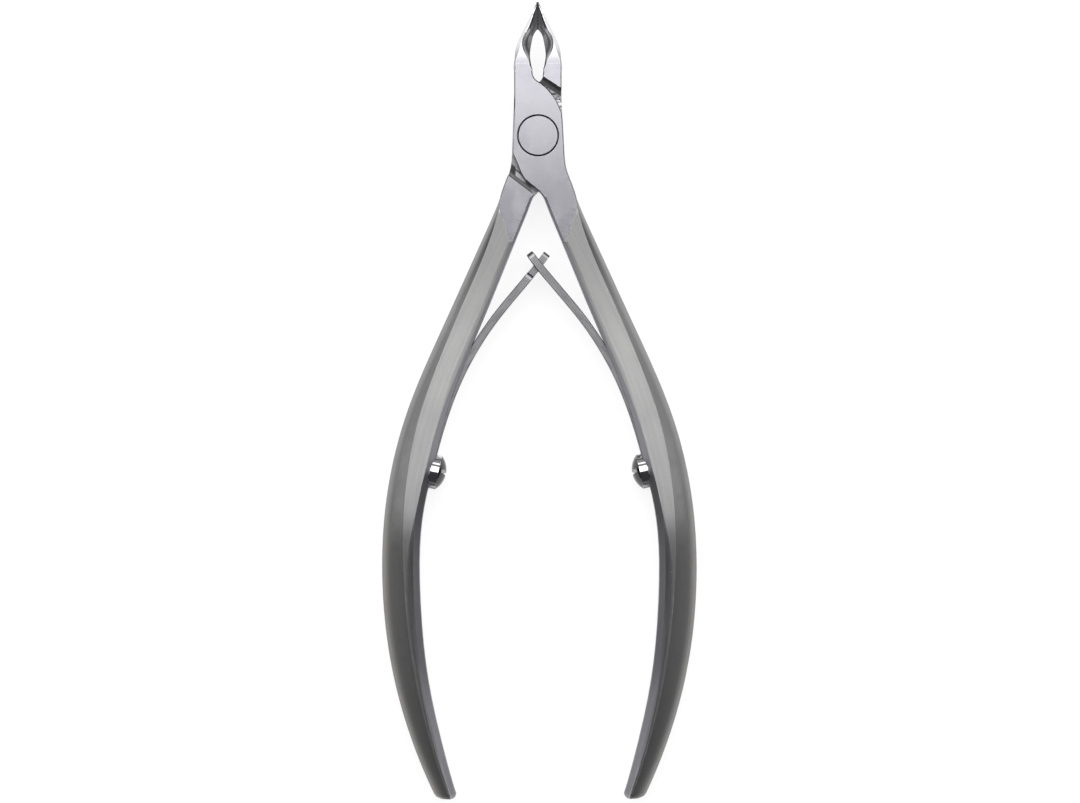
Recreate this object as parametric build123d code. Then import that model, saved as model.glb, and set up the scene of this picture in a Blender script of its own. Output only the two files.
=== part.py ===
from build123d import *
import os

# Cuticle nipper, millimetres. It lies on its back with the jaws closed.
# X runs across the tool, +Y from the pivot towards the tips, +Z from the back face to the front face.
# The origin is on the pivot axis, in the plane that the tool rests on.

# Joint
thickness = 6.2            # back face to front face
middle = thickness / 2     # the plane where the two halves lap
lap_play = 0.015           # each half stays this far from the middle plane
joint_half_width = 3.4     # beside the jaws
edge_break = 0.16          # small chamfer round the flat faces
crotch_top = (0.87, -9.35)  # the right half's edge between the handles
crotch_foot = (3.49, -15.75)
crotch_break = 0.33        # wider chamfer along that edge

# Pivot
head_radius = 2.89
head_depth = 1.6
shank_radius = 2.0
pivot_play = 0.04          # running clearance in the front half
outline_rise = 0.33        # the outlines' own zero lies this far above the pivot axis
ring_break = 0.11          # chamfers that leave the dark ring round the head

# Jaws
jaw_start = 9.0            # height where the jaw leaves the joint block
tip_height = 19.15
edge_play = 0.003         # the cutting edges stop this far from the centre plane
relief_top = 15.25

# Handles
handle_end = -95.8
end_round = 0.7            # length of the rounded end
flat_drop = 0.1            # the handle's faces lie this far below the polished flats

# Leaf springs
leaf_width = 3.6
leaf_break = 0.1           # chamfer along the leaf's edges
leaf_end_round = 0.85      # rounded corners of the slotted end
seat_width = 3.9
seat_foot = -51.4          # lower end of the seat
crossing_height = -18.84   # where the two leaves cross, on the centre plane
leaf_lean = 38             # angle of the free ends from the long centre line
slot_width = 2.0
slot_below = 2.4           # slot from the crossing towards the foot
slot_above = 1.0           # slot from the crossing towards the end
tongue_width = 1.4
tongue_start = 1.75        # shoulders of the tongue, before the crossing
tongue_end = 2.03          # end of the tongue, past the crossing
shoulder_round = 0.75
tongue_round = 0.6

# Spring screws
screw_seat = (15.75, -48.5)
screw_lean = 12            # the screw's axis leans this far towards the handle ends
screw_radius = 2.5
screw_side = 1.27
screw_dome = 1.1
shank_length = 3.2
screw_shank_radius = 1.0
spot_play = 0.06           # gap round the screw's head where it is sunk in the handle and leaf
driver_slot = 0.6
driver_slot_depth = 0.7
driver_slot_turn = 12      # the slot is not square to the front face


def cross_plane(y):
    """Plane across the tool at height y: local x is X and local y is Z."""
    return Plane(origin=(0, y, 0), x_dir=(1, 0, 0), z_dir=(0, -1, 0))


def joint_outline():
    """Front layer of one half: left jaw root, lap plate with the pivot, and right handle root."""
    root = jaw_start + 0.4
    left_side = Polyline((-0.78, root), (-joint_half_width, root), (-joint_half_width, 5.5))
    waist = Spline((-joint_half_width, 5.5), (-3.6, 1.0), (-3.72, -1.9), (-3.75, -2.9))
    lower_lap = Spline((-3.75, -2.9), (-3.31, -3.7), (-2.66, -5.4), (-1.91, -6.7))
    heel = Spline((-1.91, -6.7), (-0.85, -7.58), (0.3, -8.6), crotch_top)
    inner_edge = Polyline(crotch_top, crotch_foot, (4.28, -15.72))
    flat_end = Spline((4.28, -15.72), (4.42, -15.0), (4.75, -13.65), (5.65, -11.5))
    outer_edge = Spline((5.65, -11.5), (5.52, -9.4), (4.77, -7.1), (4.05, -5.1), (3.75, -2.4), (3.62, 0.5),
                        (3.42, 2.9))
    upper_lap = Spline((3.42, 2.9), (3.18, 3.51), (2.32, 5.23), (1.46, 6.32), (0.53, 7.13))
    slot_foot = Spline((0.53, 7.13), (-0.1, 7.52), (-0.56, 7.98), (-0.76, 8.6), (-0.78, root))
    curves = left_side + waist + lower_lap + heel + inner_edge + flat_end + outer_edge + upper_lap + slot_foot
    return make_face(curves)


def lap_pocket():
    """Space cut from the back of a half, where the other half's plate turns."""
    corners = [(2.5, 10.33), (-8, 3.41), (-8, -15.5), (12, -0.2)]
    outline = make_face(Polyline(*corners, close=True))
    return Pos(0, 0, -1) * extrude(outline, middle + lap_play + 1)


def handle_section(y, outer, ridge, crown, knee, inner, half_depth, chamfer, shoulder):
    """Section of the right handle: rounded outside, flat faces front and back, chamfered inside."""
    depth = half_depth
    round_edge = (ridge + 0.5 * (outer - ridge), depth - 0.3 * (outer - ridge))
    profile = Line((inner, chamfer - depth), (inner, depth - chamfer))
    profile += Line((inner, depth - chamfer), (knee, depth - shoulder))
    profile += Bezier((knee, depth - shoulder), ((knee + crown) / 2, depth), (crown, depth))
    profile += Line((crown, depth), (ridge, depth))
    profile += Bezier((ridge, depth), round_edge, (outer, 0.62 * depth), (outer, 0))
    profile += Bezier((outer, 0), (outer, -0.62 * depth), (round_edge[0], -round_edge[1]), (ridge, -depth))
    profile += Line((ridge, -depth), (crown, -depth))
    profile += Bezier((crown, -depth), ((knee + crown) / 2, -depth), (knee, shoulder - depth))
    profile += Line((knee, shoulder - depth), (inner, chamfer - depth))
    return cross_plane(y) * Pos(0, middle) * make_face(profile)


def handle():
    """Right handle, bowed outwards and tapering to a rounded end."""
    depth = middle - flat_drop
    sections = [
        # height, outer, ridge, crown, knee, inner, half depth, chamfer, shoulder
        (-9.2, 5.5, 5.3, 1.4, 1.2, 0.85, depth, 0.4, 0.03),
        (-12.3, 6.8, 6.0, 2.65, 2.4, 2.02, depth, 0.4, 0.05),
        (-20.9, 10.7, 9.25, 6.55, 5.98, 5.55, depth, 0.42, 0.14),
        (-27.9, 13.9, 12.35, 9.5, 8.92, 8.5, depth, 0.45, 0.14),
        (-34.8, 17.0, 15.15, 12.45, 11.9, 11.45, depth, 0.55, 0.14),
        (-41.7, 19.6, 17.45, 14.65, 14.5, 13.75, depth, 0.8, 0.03),
        (-48.7, 21.4, 18.85, 16.5, 16.35, 15.45, depth, 0.95, 0.05),
        (-55.6, 22.4, 19.5, 18.0, 17.75, 16.9, depth, 1.05, 0.14),
        (-62.5, 22.7, 19.5, 19.2, 18.1, 17.3, depth - 0.05, 1.35, 0.35),
        (-72.9, 22.0, 18.7, 18.5, 17.65, 16.8, depth - 0.2, 1.5, 0.45),
        (-83.3, 19.8, 16.8, 16.6, 16.05, 15.2, depth - 0.45, 1.5, 0.42),
        (-90.3, 17.4, 14.9, 14.7, 14.3, 13.5, depth - 0.7, 1.35, 0.38),
        (handle_end + end_round, 15.3, 13.2, 13.05, 12.85, 12.1, depth - 0.9, 1.2, 0.34),
    ]
    bar = loft([handle_section(*section) for section in sections])
    last = handle_section(*sections[-1])
    waist = handle_section(handle_end + 0.3, 15.0, 13.1, 12.95, 12.8, 12.25, depth - 1.05, 1.15, 0.33)
    tip = handle_section(handle_end, 14.35, 13.1, 12.95, 12.85, 12.6, depth - 1.4, 0.9, 0.3)
    rounded = loft([last, waist], ruled=True) + loft([waist, tip], ruled=True)
    return bar + rounded


def jaw_section(y, rim, flat, outer, floor, front, cheek, side, back_edge, back):
    """Section of the right jaw: cutting edge at the centre, hollow, rim, outer cheek and back."""
    profile = Bezier((edge_play, floor), (0.8 * rim, floor + 0.12 * (front - floor)), (rim, front))
    profile += Line((rim, front), (flat, front))
    profile += Line((flat, front), (outer, cheek))
    profile += Line((outer, cheek), (outer, side))
    profile += Line((outer, side), (back_edge, back))
    profile += Line((back_edge, back), (edge_play, back))
    profile += Line((edge_play, back), (edge_play, floor))
    return cross_plane(y) * make_face(profile)


def between_faces():
    """The slab between the joint's back and front faces, which the jaws are ground flush with."""
    return Pos(0, 15, middle) * Box(20, 20, thickness)


def relief():
    """Almond opening between the jaws, behind the cutting edges."""
    right = Spline((0, relief_top), (0.5, 14.65), (0.92, 13.2), (1.14, 11.5), (1.0, 10.1),
                   (0.78, jaw_start - 0.1))
    left = mirror(right, about=Plane.YZ)
    foot = Line((-0.78, jaw_start - 0.1), (0.78, jaw_start - 0.1))
    return Pos(0, 0, -1) * extrude(make_face(right + left + foot), thickness + 2)


def right_jaw():
    """Right jaw above the joint block, hollow on the front and ground thin towards the tip."""
    sections = [
        # height, rim, flat, outer, floor, front, cheek, side, back edge, back
        (jaw_start, 0.8, 3.24, 3.4, 6.1, 6.2, 6.04, 0.16, 3.24, 0.0),
        (10.3, 1.3, 3.2, 3.38, 4.7, 6.15, 5.9, 0.8, 2.95, 0.12),
        (11.5, 1.9, 2.8, 3.29, 3.2, 5.85, 5.35, 1.35, 2.55, 0.42),
        (12.7, 2.27, 2.45, 3.08, 2.4, 5.35, 4.6, 1.75, 2.15, 0.8),
        (14.0, 2.0, 2.12, 2.55, 2.0, 4.65, 4.1, 2.0, 1.6, 1.25),
        (15.4, 1.33, 1.43, 1.86, 1.85, 3.9, 3.5, 2.2, 1.05, 1.68),
        (17.0, 0.75, 0.83, 1.1, 2.12, 3.2, 2.95, 2.35, 0.6, 2.0),
        (18.3, 0.28, 0.34, 0.48, 2.33, 2.75, 2.66, 2.45, 0.3, 2.24),
        (tip_height, 0.09, 0.12, 0.15, 2.46, 2.58, 2.55, 2.5, 0.1, 2.38),
    ]
    blade = loft([jaw_section(*section) for section in sections]) - relief()
    return blade & between_faces()


def screw_spot_face():
    """Space above the right screw's seat, where its head stands."""
    height = screw_side + screw_dome
    return screw_plane() * Pos(0, 0, height / 2) * Cylinder(screw_radius + spot_play, height)


def leaf_outline():
    """Side of the right leaf: foot along the handle, then a free part bent towards the centre."""
    handle_side = Spline((16.75, -50.4), (16.2, -48.0), (14.45, -41.7), (11.75, -34.8), (9.35, -30.0),
                         (8.26, -28.35), (6.65, -26.1), (4.99, -24.03), (2.35, -20.9), (-0.9, -16.83))
    end = Line((-0.9, -16.83), (-1.73, -17.47))
    centre_side = Spline((-1.73, -17.47), (0.9, -20.9), (3.84, -24.4), (6.29, -27.48), (8.06, -30.07),
                         (10.7, -34.8), (13.4, -41.7), (15.2, -48.2), (15.75, -50.6))
    foot = Line((15.75, -50.6), (16.75, -50.4))
    return make_face(handle_side + end + centre_side + foot)


def screw_plane():
    """Seat of the right screw's head, with local z along the screw's axis out of the handle."""
    lean = Vector(-1, 0, 0).rotate(Axis.Z, screw_lean)
    return Plane(origin=(*screw_seat, middle), x_dir=(0, 0, 1), z_dir=lean)


def crossing_plane():
    """Plane where the leaves cross: local x runs along the right leaf to its end, local y is Z."""
    along = Vector(0, 1, 0).rotate(Axis.Z, leaf_lean)
    across = along.cross(Vector(0, 0, 1))
    return Plane(origin=(0, crossing_height, middle), x_dir=along, z_dir=across)


def block_on(plane, start, end, width, height):
    """Block along a plane's local x, centred on its other two axes."""
    return plane * Pos((start + end) / 2, 0, 0) * Box(end - start, width, height)


def short_edges(shape):
    """Edges across the leaf's thickness at the corners of its ends, from the foot upwards."""
    return shape.edges().filter_by(lambda edge: edge.length < 1.3).sort_by(Axis.Y)


def leaf_blank():
    """Right leaf with its rounded ends, broken edges, screw hole and spot-faced seat for the screw head."""
    leaf = Pos(0, 0, middle - leaf_width / 2) * extrude(leaf_outline(), leaf_width)
    leaf = fillet(short_edges(leaf)[:2], leaf_width / 2 - 0.05)
    leaf = fillet(short_edges(leaf)[-2:], leaf_end_round)
    long_edges = leaf.edges().filter_by(lambda edge: edge.length > 30)
    leaf = chamfer(long_edges, leaf_break)
    shank_space = screw_plane() * Cylinder(screw_shank_radius + leaf_break, leaf_width)
    return leaf - screw_spot_face() - shank_space


def slotted_leaf():
    """Right leaf, with the slot near its end that the other leaf's tongue passes through."""
    return leaf_blank() - block_on(crossing_plane(), -slot_below, slot_above, slot_width, 3)


def rounded_block(start, end, width, radius):
    """Block along the crossing's local x, with the corners of its far end rounded."""
    block = block_on(Plane.XY, start, end, width, 3)
    corners = block.edges().filter_by(Axis.Z).sort_by(Axis.X)[-2:]
    return crossing_plane() * fillet(corners, radius)


def tongued_leaf():
    """Left leaf, made on the right: rounded shoulders and a narrow tongue at its end."""
    blank = leaf_blank()
    shoulders = rounded_block(-2 * tongue_start, -tongue_start, leaf_width, shoulder_round)
    tongue = rounded_block(-2 * tongue_start, tongue_end, tongue_width, tongue_round)
    removed = block_on(crossing_plane(), -tongue_start - shoulder_round, 2 * tongue_end, 2 * leaf_width, 3)
    return blank - (removed - shoulders - tongue)


def leaf_seat():
    """Space milled in the right handle's inner face for the leaf's foot."""
    floor = Spline((17.0, seat_foot), (16.25, -48.0), (14.5, -41.7), (11.81, -34.8), (9.4, -30.0),
                   (8.1, -28.0))
    space = make_face(floor + Polyline((8.1, -28.0), (5.0, -28.0), (5.0, seat_foot), (17.0, seat_foot)))
    seat = Pos(0, 0, middle - seat_width / 2) * extrude(space, seat_width)
    foot_corners = seat.faces().sort_by(Axis.Y)[0].edges().filter_by(Axis.X)
    return fillet(foot_corners, seat_width / 2 - 0.05)


def screw():
    """Right spring screw: domed head with a driver slot, and a shank in the handle."""
    dome_rise = (screw_radius ** 2 - screw_dome ** 2) / (2 * screw_dome)
    dome_radius = dome_rise + screw_dome
    rim = (screw_radius, screw_side)
    crown = (0, screw_side + screw_dome)
    shoulder = (dome_radius * 0.3, screw_side - dome_rise + dome_radius * 0.9539)
    profile = Polyline((0, 0), (screw_radius - 0.1, 0), (screw_radius, 0.1), rim)
    profile += ThreePointArc(rim, shoulder, crown)
    profile += Line(crown, (0, 0))
    head = revolve(Plane.XZ * make_face(profile), Axis.Z)
    slot = Box(2 * screw_radius + 1, driver_slot, 2 * driver_slot_depth)
    head -= Pos(0, 0, screw_side + screw_dome) * Rot(0, 0, driver_slot_turn) * slot
    shank = Pos(0, 0, -shank_length / 2) * Cylinder(screw_shank_radius, shank_length)
    return screw_plane() * (head + shank)


def screw_hole():
    """Hole and spot face that the right screw leaves in the handle."""
    hole = Pos(0, 0, -shank_length / 2) * Cylinder(screw_shank_radius, shank_length)
    return screw_plane() * hole + screw_spot_face()


def cylinder_between(radius, low, high):
    return Pos(0, 0, low) * extrude(Circle(radius), high - low)


def pivot():
    """Stepped pivot: wide flush head in the front half, shank riveted flush in the back half."""
    head = cylinder_between(head_radius, thickness - head_depth, thickness)
    head = chamfer(head.edges().group_by(Axis.Z)[-1], ring_break)
    shank = cylinder_between(shank_radius, 0, thickness - head_depth)
    shank = chamfer(shank.edges().group_by(Axis.Z)[0], ring_break / 2)
    return head + shank


def pivot_bore():
    """Running bore for the pivot in the front half, countersunk to leave a ring round the head."""
    seat = thickness - head_depth - 0.02
    radius = head_radius + pivot_play
    bore = cylinder_between(shank_radius + pivot_play, -1, seat + 0.5)
    bore += cylinder_between(radius, seat, thickness)
    ring = Pos(0, 0, thickness - ring_break / 2) * Cone(radius, radius + ring_break, ring_break)
    return bore + ring


def crotch_chamfers():
    """Space cut for the wider chamfers along the edge between the handles, front and back."""
    edge = Line(crotch_top, crotch_foot)
    side = crotch_break * 2 ** 0.5
    bar = Rot(45, 0, 0) * Box(edge.length, side, side)
    along = Plane(origin=edge @ 0.5, x_dir=edge % 0, z_dir=(0, 0, 1))
    front = Pos(0, 0, thickness) * along * bar
    return front + along * bar


def half_blank():
    """Lap plate, jaw root and right handle that both halves share, as the front half has them."""
    plate = extrude(joint_outline(), thickness)
    plate = chamfer(plate.edges().group_by(Axis.Z)[-1], edge_break)
    plate = chamfer(plate.edges().group_by(Axis.Z)[0], edge_break)
    return plate + handle() - lap_pocket() - leaf_seat() - screw_hole() - crotch_chamfers()


def turned_over(shape):
    """The same shape turned half a turn about the tool's long centre line."""
    return Pos(0, 0, middle) * Rot(0, 180, 0) * Pos(0, 0, -middle) * shape


def raised(shape):
    """Moved so that heights count from the pivot axis and not from the outlines' zero."""
    return Pos(0, outline_rise, 0) * shape


def build():
    blank = raised(half_blank())
    jaw = raised(right_jaw())
    parts = {
        "front_half": blank + mirror(jaw, about=Plane.YZ) - pivot_bore(),
        "back_half": turned_over(blank) + jaw - cylinder_between(shank_radius, -1, thickness),
        "pivot": pivot(),
        "right_leaf": raised(slotted_leaf()),
        "left_leaf": mirror(raised(tongued_leaf()), about=Plane.YZ),
        "right_screw": raised(screw()),
        "left_screw": mirror(raised(screw()), about=Plane.YZ),
    }
    os.makedirs("parts", exist_ok=True)
    for name, shape in parts.items():
        export_step(shape, f"parts/{name}.step")


build()
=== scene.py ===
import math

import bmesh
import bpy
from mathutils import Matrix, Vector

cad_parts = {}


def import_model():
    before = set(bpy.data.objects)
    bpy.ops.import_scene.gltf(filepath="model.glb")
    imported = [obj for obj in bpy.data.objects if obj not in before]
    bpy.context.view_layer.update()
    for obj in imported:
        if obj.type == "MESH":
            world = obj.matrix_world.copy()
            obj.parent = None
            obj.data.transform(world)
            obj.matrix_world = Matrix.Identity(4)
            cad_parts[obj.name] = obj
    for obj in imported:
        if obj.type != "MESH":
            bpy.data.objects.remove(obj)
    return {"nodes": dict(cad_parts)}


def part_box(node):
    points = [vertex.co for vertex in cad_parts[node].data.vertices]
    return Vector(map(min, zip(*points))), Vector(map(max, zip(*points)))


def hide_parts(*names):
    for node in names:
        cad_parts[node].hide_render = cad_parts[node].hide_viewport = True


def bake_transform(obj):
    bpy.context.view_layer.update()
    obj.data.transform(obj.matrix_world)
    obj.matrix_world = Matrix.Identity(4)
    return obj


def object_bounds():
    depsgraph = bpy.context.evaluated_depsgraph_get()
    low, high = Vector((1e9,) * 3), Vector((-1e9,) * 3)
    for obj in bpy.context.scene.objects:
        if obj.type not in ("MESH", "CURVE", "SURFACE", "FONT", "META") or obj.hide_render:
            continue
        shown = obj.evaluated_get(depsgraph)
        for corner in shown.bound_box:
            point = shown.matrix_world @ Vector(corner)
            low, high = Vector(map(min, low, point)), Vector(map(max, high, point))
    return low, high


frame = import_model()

cad_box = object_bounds()

# Metres, in the CAD's frame: +Y towards the tips, +Z towards the viewer, the floor at z = 0.
MM = 0.001
LOW, HIGH = cad_box
MIDDLE = (LOW.z + HIGH.z) / 2                # the plane where the two halves lap
HALF_DEPTH = HIGH.z - MIDDLE
SATIN_DEPTH = HALF_DEPTH - 0.1 * MM          # the satin handle faces lie under the polished flats
PIVOT_LOW, PIVOT_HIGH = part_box("pivot")
HEAD_RADIUS = (PIVOT_HIGH.x - PIVOT_LOW.x) / 2
SCREW_SEAT = Vector((15.75, -48.17, 0)) * MM  # centre of the right screw's seat
SCREW_LEAN = math.radians(12)                # its axis leans this far towards the handle ends
SCREW_SIDE = 1.27 * MM                       # seat to the foot of the dome, along the axis


# --- Node helpers ---------------------------------------------------------------------------------------

class Nodes:
    """A node material being built: new nodes, links between them, and the Principled shader."""

    def __init__(self, name):
        self.material = bpy.data.materials.new(name)
        self.material.use_nodes = True
        self.tree = self.material.node_tree
        self.shader = self.tree.nodes["Principled BSDF"]

    def add(self, kind, **settings):
        node = self.tree.nodes.new("ShaderNode" + kind)
        for key, value in settings.items():
            setattr(node, key, value)
        return node

    def set(self, socket, value):
        """Gives a socket a number, a colour, a vector or a link."""
        if isinstance(value, bpy.types.NodeSocket):
            self.tree.links.new(value, socket)
        elif isinstance(value, tuple) and socket.type == "RGBA":
            socket.default_value = (*value, 1.0)
        else:
            socket.default_value = value

    def math(self, operation, *values):
        node = self.add("Math", operation=operation)
        for socket, value in zip(node.inputs, values):
            self.set(socket, value)
        return node.outputs[0]

    def total(self, *values):
        result = values[0]
        for value in values[1:]:
            result = self.math("ADD", result, value)
        return result

    def product(self, *values):
        result = values[0]
        for value in values[1:]:
            result = self.math("MULTIPLY", result, value)
        return result

    def without(self, mask):
        return self.math("SUBTRACT", 1.0, mask)

    def reach(self, x, y):
        """Distance from the Z axis."""
        return self.math("SQRT", self.total(self.product(x, x), self.product(y, y)))

    def towards(self, direction, x, y):
        """How far (x, y) lies in a direction."""
        return self.total(self.product(x, direction[0]), self.product(y, direction[1]))

    def ramp(self, value, start, end, low=0.0, high=1.0):
        """Smooth step from low to high as value goes from start to end."""
        node = self.add("MapRange", interpolation_type="SMOOTHSTEP")
        for socket, number in zip(node.inputs, (value, start, end, low, high)):
            self.set(socket, number)
        return node.outputs[0]

    def mix(self, factor, first, second):
        """Colour between two colours."""
        node = self.add("Mix", data_type="RGBA")
        self.set(node.inputs[0], factor)
        self.set(node.inputs[6], first)
        self.set(node.inputs[7], second)
        return node.outputs[2]

    def blend(self, factor, first, second):
        """Number between two numbers."""
        node = self.add("Mix")
        self.set(node.inputs[0], factor)
        self.set(node.inputs[2], first)
        self.set(node.inputs[3], second)
        return node.outputs[0]

    def grey(self, level, tint):
        """Grey colour of a level, with a slight tint."""
        return self.vector(*(self.product(level, part) for part in tint))

    def scaled(self, vector, *scale):
        node = self.add("VectorMath", operation="MULTIPLY")
        self.set(node.inputs[0], vector)
        self.set(node.inputs[1], scale)
        return node.outputs[0]

    def vector(self, *parts):
        node = self.add("CombineXYZ")
        for socket, part in zip(node.inputs, parts):
            self.set(socket, part)
        return node.outputs[0]

    def noise(self, vector, scale, detail=3.0, roughness=0.5):
        """Noise from 0 to 1, with about as many cells in a metre as its scale says."""
        node = self.add("TexNoise")
        self.set(node.inputs["Vector"], vector)
        self.set(node.inputs["Scale"], scale)
        self.set(node.inputs["Detail"], detail)
        self.set(node.inputs["Roughness"], roughness)
        return node.outputs["Fac"]

    def bump(self, height, distance):
        node = self.add("Bump")
        self.set(node.inputs["Strength"], 1.0)
        self.set(node.inputs["Distance"], distance)
        self.set(node.inputs["Height"], height)
        return node.outputs["Normal"]

    def place(self):
        """Object position and its three parts, and the object normal's three parts."""
        coordinates = self.add("TexCoord")
        position = coordinates.outputs["Object"]
        axes = self.add("SeparateXYZ")
        self.set(axes.inputs[0], position)
        facing = self.add("SeparateXYZ")
        self.set(facing.inputs[0], coordinates.outputs["Normal"])
        return position, axes.outputs, facing.outputs

    def edges(self, radius):
        """1 on sharp edges and 0 on flat or smoothly curved faces."""
        rounded = self.add("Bevel", samples=4)
        self.set(rounded.inputs["Radius"], radius)
        flat = self.add("NewGeometry")
        agreement = self.add("VectorMath", operation="DOT_PRODUCT")
        self.set(agreement.inputs[0], rounded.outputs[0])
        self.set(agreement.inputs[1], flat.outputs["Normal"])
        return self.ramp(agreement.outputs["Value"], 0.995, 0.93)

    def curve(self, value, points):
        """Curve through points (value, result), both taken from their lowest to their highest."""
        lows = [min(axis) for axis in zip(*points)]
        highs = [max(axis) for axis in zip(*points)]
        spans = [high - low for low, high in zip(lows, highs)]
        share = self.math("DIVIDE", self.math("SUBTRACT", value, lows[0]), spans[0])
        node = self.add("FloatCurve")
        self.set(node.inputs["Value"], share)
        line = node.mapping.curves[0]
        shares = sorted(((x - lows[0]) / spans[0], (y - lows[1]) / spans[1]) for x, y in points)
        line.points[0].location = shares[0]
        line.points[1].location = shares[-1]
        for point in shares[1:-1]:
            line.points.new(*point)
        node.mapping.update()
        return self.math("MULTIPLY_ADD", node.outputs[0], spans[1], lows[1])


def finish_metal(n, color, roughness, normal):
    n.set(n.shader.inputs["Metallic"], 1.0)
    n.set(n.shader.inputs["Base Color"], color)
    n.set(n.shader.inputs["Roughness"], roughness)
    n.set(n.shader.inputs["Normal"], normal)
    return n.material


def dress(node, material):
    mesh = frame["nodes"][node].data
    mesh.materials.clear()
    mesh.materials.append(material)


# --- The two halves -------------------------------------------------------------------------------------

# Painted light and shade on the handles, given as how light the steel is drawn: millimetres along the tool
# from the pivot, or in from the handle's outer side. The first list paints a reflection on the satin
# faces, brightest 35 to 46 mm below the pivot. The second paints a gradient of light and shade across the
# lower sides' rounded band. The third paints a shadow line on the inner sides at the spring's screw, dark
# below it and light above.
SATIN_FACE_SHADING = [(-96, 0.15), (-66, 0.16), (-60, 0.18), (-56, 0.31), (-52.4, 0.455), (-46, 0.50), (-35, 0.50),
              (-24, 0.39), (-15, 0.315), (-8, 0.30)]
LOWER_SIDE_SHADING = [(0, 0.20), (0.15, 0.25), (0.44, 0.33), (0.73, 0.31), (1.0, 0.24), (1.3, 0.175), (1.6, 0.14),
              (2.0, 0.115), (2.6, 0.095), (3.4, 0.082)]
INNER_SIDE_SHADING = [(-96, 0.36), (-90, 0.34), (-81, 0.27), (-74, 0.18), (-60, 0.165), (-53, 0.13), (-49.6, 0.13),
              (-47.6, 0.48), (-44, 0.50), (-35, 0.50), (-20, 0.52), (-8, 0.56)]
RING_DIRT = (0.15, 0.145, 0.17)

# Walls beside the lap faces: the direction square to each one, and its distance from the pivot.
TOP_WALL = (0.55, 0.835), 7.52 * MM
FOOT_WALL = (-0.608, -0.794), 7.19 * MM


def in_metres(points):
    return [(distance * MM, level) for distance, level in points]


def outer_line():
    """Outer side of the right handle at a row of heights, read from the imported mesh."""
    work = bmesh.new()
    work.from_mesh(frame["nodes"]["front_half"].data)
    start, end, count = -11 * MM, LOW.y + 0.8 * MM, 16
    points = []
    for step in range(count):
        height = start + (end - start) * step / (count - 1)
        parts = work.verts[:] + work.edges[:] + work.faces[:]
        cut = bmesh.ops.bisect_plane(work, geom=parts, plane_co=(0, height, 0), plane_no=(0, 1, 0))
        corners = [item.co.x for item in cut["geom_cut"] if isinstance(item, bmesh.types.BMVert)]
        points.append((height, max(corners)))
    work.free()
    return points


class Half:
    """A point on a half: its place and facing, and a mask from 0 to 1 for each zone of the surface."""

    def __init__(self, n):
        self.position, (self.x, self.y, self.z), (nx, _, self.nz) = n.place()
        side = n.math("ABSOLUTE", self.x)
        up = n.math("ABSOLUTE", self.nz)
        off_middle = n.math("ABSOLUTE", n.math("SUBTRACT", self.z, MIDDLE))
        self.rim = n.math("SUBTRACT", n.curve(self.y, outer_line()), side)
        self.outward = n.product(nx, n.math("SIGN", self.x))
        self.facing = n.ramp(up, 0.80, 0.985)
        self.inner = n.ramp(self.outward, -0.15, -0.6)

        # Along the tool.
        self.lower = n.ramp(self.y, -46 * MM, -62 * MM)
        self.jaw = n.ramp(self.y, 9.4 * MM, 10.6 * MM)
        joint = n.ramp(self.y, -9.0 * MM, -8.9 * MM)

        # The polished flats end in a step down to the satin handle faces, along which a bright line is
        # painted as a highlight.
        flats = n.ramp(off_middle, SATIN_DEPTH + 0.008 * MM, SATIN_DEPTH + 0.015 * MM)
        self.polished = n.math("MAXIMUM", flats, joint)
        above_satin = n.ramp(off_middle, SATIN_DEPTH + 0.006 * MM, SATIN_DEPTH + 0.012 * MM)
        below_flats = n.ramp(off_middle, HALF_DEPTH - 0.015 * MM, HALF_DEPTH - 0.03 * MM)
        self.step = n.product(above_satin, below_flats, n.ramp(self.y, -10.4 * MM, -10.8 * MM))

        # Parts of the joint and jaws.
        # Masks for painted shade: the jaws' hollows, the joint's steep flanks, and the line where the jaws
        # meet.
        self.hollow = n.product(self.jaw, self.inner, n.ramp(self.nz, -0.2, 0.1))
        self.flank = n.product(joint, n.ramp(self.y, 9.2 * MM, 8.9 * MM), n.ramp(up, 0.9, 0.75))
        self.lap = n.product(n.ramp(off_middle, 0.06 * MM, 0.04 * MM), n.ramp(up, 0.9, 0.95))
        self.seam = n.product(self.jaw, n.ramp(side, 0.15 * MM, 0.06 * MM))
        by_head = n.ramp(n.reach(self.x, self.y), HEAD_RADIUS + 0.17 * MM, HEAD_RADIUS + 0.14 * MM)
        self.ring = n.product(by_head, n.ramp(self.nz, 0.97, 0.9))

        # Coordinates that follow the bowed handle, for brushing along it.
        self.lengthwise = n.vector(self.rim, self.y, self.z)


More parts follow.
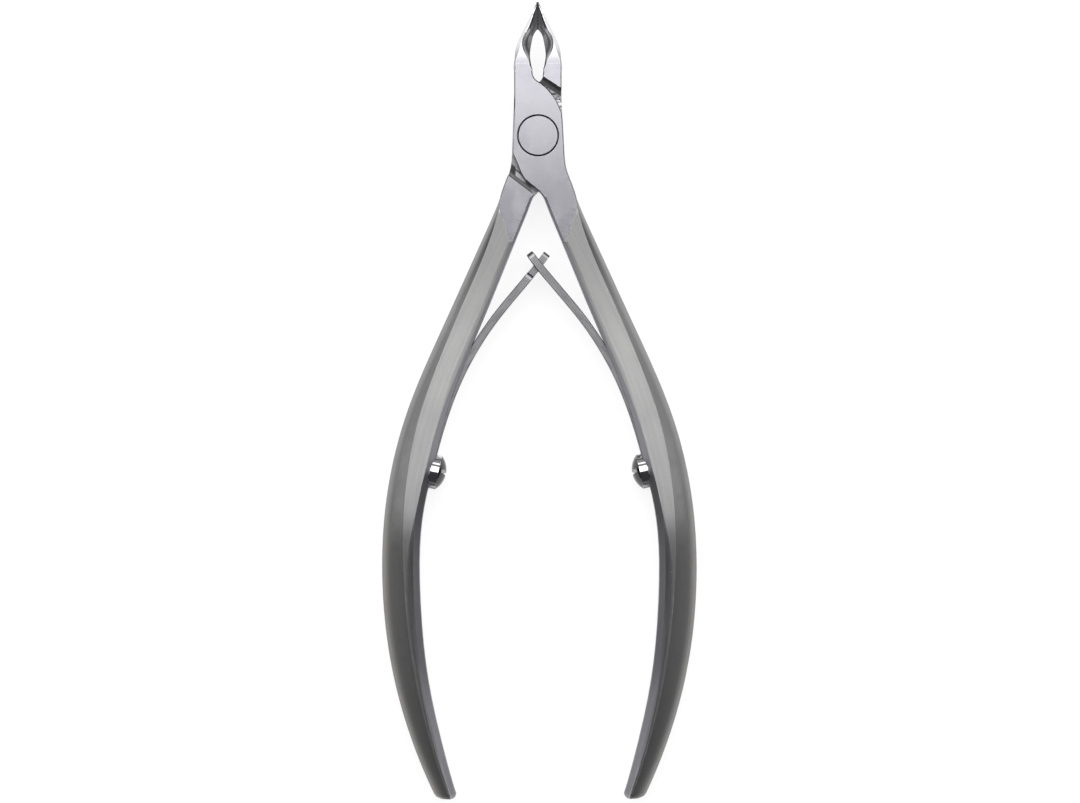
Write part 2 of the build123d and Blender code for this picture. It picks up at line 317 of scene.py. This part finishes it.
def handle_color(n, at, grain):
    """Satin front and back faces between darker blasted sides, with painted light and shade: the sides are
    darker partly for their blasted finish and partly as painted shade.
    """
    # Painted reflection: the satin faces brighten and fade along the tool, with painted shade where the
    # lower shoulder tilts inwards.
    satin = n.grey(n.curve(at.y, in_metres(SATIN_FACE_SHADING)), (1.0, 1.0, 0.985))
    shoulder_shade = n.product(at.lower, n.ramp(at.outward, -0.06, -0.25))
    satin = n.mix(shoulder_shade, satin, (0.070, 0.069, 0.068))

    # Painted shade on the blasted sides: darker at the outer edge, on the neck near the joint, in a
    # gradient across the lower sides' rounded band, and in a shadow line on the inner sides at the
    # spring's screw.
    blasted = n.mix(n.ramp(at.rim, 0.35 * MM, 0.0), (0.335, 0.335, 0.332), (0.25, 0.25, 0.248))
    neck_shade = n.product(n.ramp(at.y, -27 * MM, -13 * MM), n.ramp(at.rim, 0.3 * MM, 1.0 * MM))
    blasted = n.mix(neck_shade, blasted, (0.135, 0.135, 0.137))
    lower_side = n.grey(n.curve(at.rim, in_metres(LOWER_SIDE_SHADING)), (1.0, 0.975, 0.95))
    blasted = n.mix(at.lower, blasted, lower_side)
    inner_side = n.grey(n.curve(at.y, in_metres(INNER_SIDE_SHADING)), (0.98, 0.97, 1.05))
    blasted = n.mix(n.product(at.inner, n.without(at.facing)), blasted, inner_side)

    wide_brushing = n.noise(n.scaled(at.lengthwise, 2600, 60, 2600), 1.0, 2)
    color = n.mix(at.facing, blasted, satin)
    color = n.mix(n.ramp(wide_brushing, 0.3, 0.7, 0.0, 0.16), color, (0.16, 0.16, 0.165))
    return n.mix(n.ramp(grain, 0.35, 0.7, 0.0, 0.14), color, (0.12, 0.12, 0.12))


def joint_color(n, at):
    """Polished flats, and painted light on the jaws and joint: shade just above the kink, a highlight that
    brightens the jaws towards the tips, shade in their hollows and on the joint's steep flanks, and the
    lap faces' painted shade and glints.
    """
    clouds = n.noise(at.position, 160, 3)
    color = n.mix(n.ramp(clouds, 0.35, 0.65), (0.475, 0.47, 0.505), (0.445, 0.44, 0.475))
    # Painted shade just above the kink where the jaws start to curve, then a painted highlight that
    # brightens them towards the tips.
    color = n.mix(n.ramp(at.y, 10.25 * MM, 10.4 * MM), color, (0.31, 0.305, 0.33))
    color = n.mix(n.ramp(at.y, 10.5 * MM, 13.4 * MM), color, (0.74, 0.74, 0.76))
    # Painted shade in the hollows, darkest at their foot, and on the joint's steep flanks.
    hollow = n.mix(n.ramp(at.y, 13.2 * MM, 15.6 * MM), (0.20, 0.20, 0.205), (0.48, 0.48, 0.49))
    color = n.mix(at.hollow, color, hollow)
    color = n.mix(at.flank, color, (0.22, 0.22, 0.235))
    return n.mix(at.lap, color, lap_shade_and_glints(n, at))


def lap_shade_and_glints(n, at):
    """Machined lap faces where they show beside the plates, with marks parallel to the walls, and painted
    shade by the walls and painted glints over them.
    """
    right = n.product(at.x, at.nz)
    upper = upper_lap_shade_and_glints(n, at, right, inside_wall(n, TOP_WALL, right, at.y))
    lower = lower_lap_shade_and_glints(n, right, inside_wall(n, FOOT_WALL, right, at.y))
    return n.mix(n.ramp(at.y, -0.1 * MM, 0.1 * MM), lower, upper)


def inside_wall(n, wall, x, y):
    """How far (x, y) is from a wall."""
    direction, distance = wall
    return n.math("SUBTRACT", distance, n.towards(direction, x, y))


def upper_lap_shade_and_glints(n, at, right, from_wall):
    """Above the pivot: a dark band of painted shade by the wall, a speckled strip, then painted glints at
    the outer end.
    """
    specks = n.ramp(n.noise(n.scaled(at.position, 1.0, 1.6, 1.0), 3400, 1), 0.50, 0.58)
    speckled = n.mix(specks, (0.30, 0.30, 0.31), (0.05, 0.05, 0.055))
    # Painted shade: a dark band along the wall.
    color = n.mix(n.ramp(from_wall, 0.95 * MM, 0.75 * MM), speckled, (0.055, 0.055, 0.06))
    # Painted glints at the outer end, with dark specks.
    outer_glint = n.product(n.ramp(right, 2.5 * MM, 2.9 * MM), n.ramp(from_wall, 1.35 * MM, 1.55 * MM))
    return n.mix(outer_glint, color, n.mix(specks, (0.62, 0.62, 0.64), (0.20, 0.20, 0.21)))


def lower_lap_shade_and_glints(n, right, from_wall):
    """Below the pivot: a dark line of painted shade at the wall, a grey strip, then painted glints and a
    dark patch outside.
    """
    # Painted glints: bright and dark bands along the wall.
    glints = streaks(n, from_wall, 5.0, 0.06, 0.97)
    outer = n.mix(n.ramp(from_wall, 1.45 * MM, 1.7 * MM), glints, (0.34, 0.34, 0.35))
    patch = n.product(n.ramp(right, -3.1 * MM, -3.4 * MM), n.ramp(from_wall, 1.9 * MM, 1.6 * MM))
    outer = n.mix(patch, outer, (0.06, 0.06, 0.06))
    strip = streaks(n, from_wall, 3.0, 0.11, 0.20)
    strip = n.mix(n.ramp(right, -1.3 * MM, -0.6 * MM), strip, (0.36, 0.36, 0.37))
    by_wall = n.ramp(from_wall, 0.85 * MM, 0.7 * MM)
    by_crotch = n.ramp(right, -2.1 * MM, -1.7 * MM)
    color = n.mix(n.math("MAXIMUM", by_wall, by_crotch), outer, strip)
    # Painted shade: a dark line along the wall.
    return n.mix(n.ramp(from_wall, 0.16 * MM, 0.06 * MM), color, (0.04, 0.04, 0.045))


def streaks(n, distance, seed, dark, light):
    """Dark and light bands along a wall: machining streaks where the two tones are close, painted
    reflections where they are far apart.
    """
    line = n.noise(n.vector(n.product(distance, 3200), seed, 0.0), 1.0, 1)
    return n.mix(n.ramp(line, 0.42, 0.62), (dark, dark, dark * 1.04), (light, light, light * 1.03))


def half_steel():
    """Polished joint and jaws, satin handle faces, and darker blasted sides, with painted reflections,
    highlights and shade over them.
    """
    n = Nodes("forged_steel")
    at = Half(n)
    stains = n.noise(n.scaled(at.position, 1.0, 0.45, 1.0), 420, 4, 0.6)
    brushing = n.noise(n.scaled(at.lengthwise, 9000, 260, 9000), 1.0, 3, 0.6)
    grain = n.noise(at.position, 9000, 2, 0.7)
    grinding = n.noise(n.scaled(at.position, 1400, 14000, 1400), 1.0, 3)
    scratches = n.ramp(n.noise(n.scaled(at.position, 700, 5200, 700), 1.0, 2), 0.70, 0.78)

    color = n.mix(at.polished, handle_color(n, at, grain), joint_color(n, at))
    color = n.mix(n.ramp(stains, 0.5, 0.75, 0.0, 0.10), color, (0.24, 0.22, 0.19))
    wear = n.product(n.edges(0.14 * MM), 0.35, n.without(at.hollow), n.without(at.flank))
    color = n.mix(wear, color, (0.80, 0.80, 0.81))
    # Painted highlight along the step at the end of the flats, and painted shade along the line where the
    # jaws meet.
    color = n.mix(at.step, color, (0.92, 0.92, 0.92))
    color = n.mix(at.seam, color, (0.05, 0.05, 0.055))
    color = n.mix(at.ring, color, RING_DIRT)

    blasted_to_satin = n.ramp(at.facing, 0, 1, 0.46, 0.34)
    satin_roughness = n.total(n.ramp(brushing, 0.25, 0.75, -0.05, 0.06), blasted_to_satin)
    bright_roughness = n.total(n.ramp(grinding, 0.25, 0.75, -0.02, 0.03), 0.17)
    roughness = n.blend(at.polished, satin_roughness, bright_roughness)
    roughness = n.total(roughness, n.ramp(stains, 0.45, 0.75, 0.0, 0.06), n.product(scratches, 0.08))

    satin_relief = n.total(n.product(brushing, 0.7), n.product(grain, 0.5))
    bright_relief = n.total(n.product(grinding, 0.12), n.product(scratches, -0.15))
    relief = n.blend(at.polished, satin_relief, bright_relief)
    return finish_metal(n, color, roughness, n.bump(relief, 0.006 * MM))


# --- Pivot, screws and springs --------------------------------------------------------------------------

def pivot_steel():
    """Ground flush with the joint's face, with faint turning marks and a dirty ring at its rim."""
    n = Nodes("ground_pivot")
    position, (x, y, _), (_, _, nz) = n.place()
    reach = n.reach(x, y)
    turning = n.noise(n.vector(n.product(reach, 9000), 0.0, 0.0), 1.0, 2)
    clouds = n.noise(position, 260, 3)
    grinding = n.noise(n.scaled(position, 1400, 14000, 1400), 1.0, 3)
    color = n.mix(n.ramp(clouds, 0.35, 0.65), (0.48, 0.475, 0.51), (0.44, 0.435, 0.47))
    by_rim = n.ramp(reach, HEAD_RADIUS - 0.13 * MM, HEAD_RADIUS - 0.10 * MM)
    color = n.mix(n.product(by_rim, n.ramp(nz, 0.97, 0.9)), color, RING_DIRT)
    marks = n.total(n.ramp(turning, 0.3, 0.7, 0.0, 0.02), n.ramp(grinding, 0.25, 0.75, -0.02, 0.03))
    relief = n.total(n.product(turning, 0.1), n.product(grinding, 0.12))
    return finish_metal(n, color, n.total(marks, 0.16), n.bump(relief, 0.006 * MM))


def screw_chrome(name, node):
    """Bright plated screw head with painted reflections: a dark dome and dark and light bands on its side;
    it is also darker in patches towards both ends of the head.
    """
    n = Nodes(name)
    low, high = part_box(node)
    centre = (low + high) / 2
    half_length = (high.x - low.x) / 2
    position, (x, y, _), (_, ny, _) = n.place()
    lathe = n.noise(n.scaled(position, 16000, 3500, 300), 1.0, 2)
    smudges = n.noise(position, 900, 3, 0.6)
    color = n.mix(n.ramp(smudges, 0.45, 0.7, 0.0, 0.5), (0.80, 0.80, 0.83), (0.60, 0.59, 0.60))
    color = n.mix(n.product(n.edges(0.1 * MM), 0.5), color, (0.92, 0.92, 0.93))
    from_centre = n.math("ABSOLUTE", n.math("SUBTRACT", x, centre.x))
    foot = n.ramp(from_centre, half_length * 0.55, half_length)
    color = n.mix(n.product(foot, n.ramp(smudges, 0.35, 0.6, 0.1, 0.5)), color, (0.20, 0.19, 0.19))

    # Painted reflections: dark and light bands round the side, by how far it faces the tips.
    color = n.mix(n.ramp(ny, 0.10, -0.12), color, (0.11, 0.105, 0.11))
    light_band_reflection = n.product(n.ramp(ny, -0.55, -0.62), n.ramp(ny, -0.9, -0.85))
    color = n.mix(light_band_reflection, color, (0.42, 0.42, 0.43))
    dark_band_reflection = n.product(n.ramp(ny, 0.30, 0.33), n.ramp(ny, 0.46, 0.43))
    color = n.mix(dark_band_reflection, color, (0.09, 0.09, 0.09))
    blotch_reflections = n.product(n.ramp(ny, 0.78, 0.82), n.ramp(smudges, 0.47, 0.52))
    color = n.mix(blotch_reflections, color, (0.08, 0.08, 0.085))

    # Painted dark reflection on the dome and its slot, found by the height over the seat along the screw's
    # axis.
    inward = n.math("SUBTRACT", SCREW_SEAT.x, n.math("ABSOLUTE", x))
    backward = n.math("SUBTRACT", SCREW_SEAT.y, y)
    height = n.towards((math.cos(SCREW_LEAN), math.sin(SCREW_LEAN)), inward, backward)
    dome = n.ramp(height, SCREW_SIDE + 0.01 * MM, SCREW_SIDE + 0.06 * MM)
    color = n.mix(dome, color, (0.085, 0.083, 0.085))
    roughness = n.total(n.ramp(lathe, 0.3, 0.7, 0.0, 0.05), n.ramp(smudges, 0.4, 0.7, 0.07, 0.14))
    return finish_metal(n, color, roughness, n.bump(lathe, 0.001 * MM))


def spring_steel(name):
    """Rolled spring steel, brushed along the strip, with faint clouds and brighter worn edges."""
    n = Nodes(name)
    position, (x, y, z), _ = n.place()
    side = n.math("ABSOLUTE", x)
    along = n.towards((0.62, -0.78), side, y)
    across = n.towards((0.78, 0.62), side, y)
    rolled = n.noise(n.scaled(n.vector(across, along, z), 3000, 350, 12000), 1.0, 3)
    clouds = n.noise(position, 240, 3)
    grain = n.noise(position, 11000, 2)
    color = n.mix(n.ramp(clouds, 0.35, 0.65), (0.295, 0.295, 0.306), (0.255, 0.255, 0.26))
    color = n.mix(n.ramp(grain, 0.4, 0.7, 0.0, 0.2), color, (0.20, 0.20, 0.20))
    color = n.mix(n.product(n.edges(0.08 * MM), 0.4), color, (0.62, 0.62, 0.63))
    roughness = n.total(n.ramp(rolled, 0.25, 0.75, -0.05, 0.06), 0.30)
    relief = n.total(n.product(rolled, 0.6), n.product(grain, 0.3))
    return finish_metal(n, color, roughness, n.bump(relief, 0.004 * MM))


def cut_into_rings(mesh, low, high, rings):
    """Cuts a mesh across at even heights."""
    work = bmesh.new()
    work.from_mesh(mesh)
    bmesh.ops.remove_doubles(work, verts=work.verts, dist=2e-7)
    for step in range(1, rings):
        height = low + (high - low) * step / rings
        parts = work.verts[:] + work.edges[:] + work.faces[:]
        bmesh.ops.bisect_plane(work, geom=parts, plane_co=(0, height, 0), plane_no=(0, 1, 0))
    work.to_mesh(mesh)
    work.free()


def spring_leaf(node):
    """Smooth-shaded copy of a leaf, cut into rings, that stands in for the imported one."""
    mesh = frame["nodes"][node].data.copy()
    leaf = bpy.data.objects.new(node + "_strip", mesh)
    bpy.context.scene.collection.objects.link(leaf)
    low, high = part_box(node)
    cut_into_rings(mesh, low.y, high.y, 40)
    if "custom_normal" in mesh.attributes:
        mesh.attributes.remove(mesh.attributes["custom_normal"])
    mesh.shade_smooth()
    mesh.set_sharp_from_angle(angle=math.radians(25))
    mesh.materials.clear()
    mesh.materials.append(spring_steel(node + "_steel"))
    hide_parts(node)
    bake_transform(leaf)


halves = half_steel()
for name in ("front_half", "back_half"):
    dress(name, halves)
dress("pivot", pivot_steel())
for name in ("right_screw", "left_screw"):
    dress(name, screw_chrome(name + "_chrome", name))
spring_leaf("right_leaf")
spring_leaf("left_leaf")


# --- Stage ----------------------------------------------------------------------------------------------

# The picture, at the joint's middle plane, and how far the camera is above that plane.
FRAME_WIDTH = 0.15585
FRAME_CENTRE = (0.16 * MM, -38.23 * MM)
FRAME_TURN = math.radians(-0.18)
CAMERA_DISTANCE = 0.62


def floor():
    """Plain pale sheet under the tool, glowing softly as on a light table."""
    size = 3.0
    mesh = bpy.data.meshes.new("floor")
    corners = [(-size, -size, 0), (size, -size, 0), (size, size, 0), (-size, size, 0)]
    mesh.from_pydata(corners, [], [(0, 1, 2, 3)])
    plane = bpy.data.objects.new("floor", mesh)
    bpy.context.scene.collection.objects.link(plane)
    n = Nodes("floor_paper")
    fibres = n.noise(n.add("TexCoord").outputs["Object"], 900, 3)
    n.set(n.shader.inputs["Base Color"], n.mix(fibres, (0.24, 0.24, 0.24), (0.26, 0.26, 0.26)))
    n.set(n.shader.inputs["Emission Color"], (1.0, 1.0, 1.0))
    n.set(n.shader.inputs["Emission Strength"], 0.84)
    n.set(n.shader.inputs["Roughness"], 0.95)
    n.set(n.shader.inputs["Specular IOR Level"], 0.1)
    mesh.materials.append(n.material)


def softbox(name, place, target, width, depth, brightness):
    """Rectangular light that looks equally bright whatever its size."""
    data = bpy.data.lights.new(name, "AREA")
    data.shape = "RECTANGLE"
    data.size = width
    data.size_y = depth
    data.energy = brightness * math.pi * width * depth
    lamp = bpy.data.objects.new(name, data)
    lamp.location = place
    lamp.rotation_euler = (Vector(target) - Vector(place)).to_track_quat("-Z", "Y").to_euler()
    bpy.context.scene.collection.objects.link(lamp)


def world(brightness):
    made = bpy.data.worlds.new("studio")
    made.use_nodes = True
    background = made.node_tree.nodes["Background"]
    background.inputs["Color"].default_value = (0.97, 0.98, 1.0, 1)
    background.inputs["Strength"].default_value = brightness
    bpy.context.scene.world = made


def camera():
    """Straight above the tool, tips up."""
    data = bpy.data.cameras.new("camera")
    data.lens = data.sensor_width * CAMERA_DISTANCE / FRAME_WIDTH
    data.clip_start = 0.01
    made = bpy.data.objects.new("camera", data)
    made.location = (*FRAME_CENTRE, MIDDLE + CAMERA_DISTANCE)
    made.rotation_euler = (0, 0, FRAME_TURN)
    bpy.context.scene.collection.objects.link(made)
    bpy.context.scene.camera = made


floor()
world(brightness=0.30)
softbox("tip_side", place=(0, 0.87, 0.95), target=(0, 0.87, 0), width=1.8, depth=1.6, brightness=2.2)
for side in (-1, 1):
    place = (side * 0.9, -0.1, 1.1)
    softbox("panel", place, target=(0, 0, 0), width=0.8, depth=1.6, brightness=0.45)
camera()
bpy.context.scene.view_settings.view_transform = "Standard"
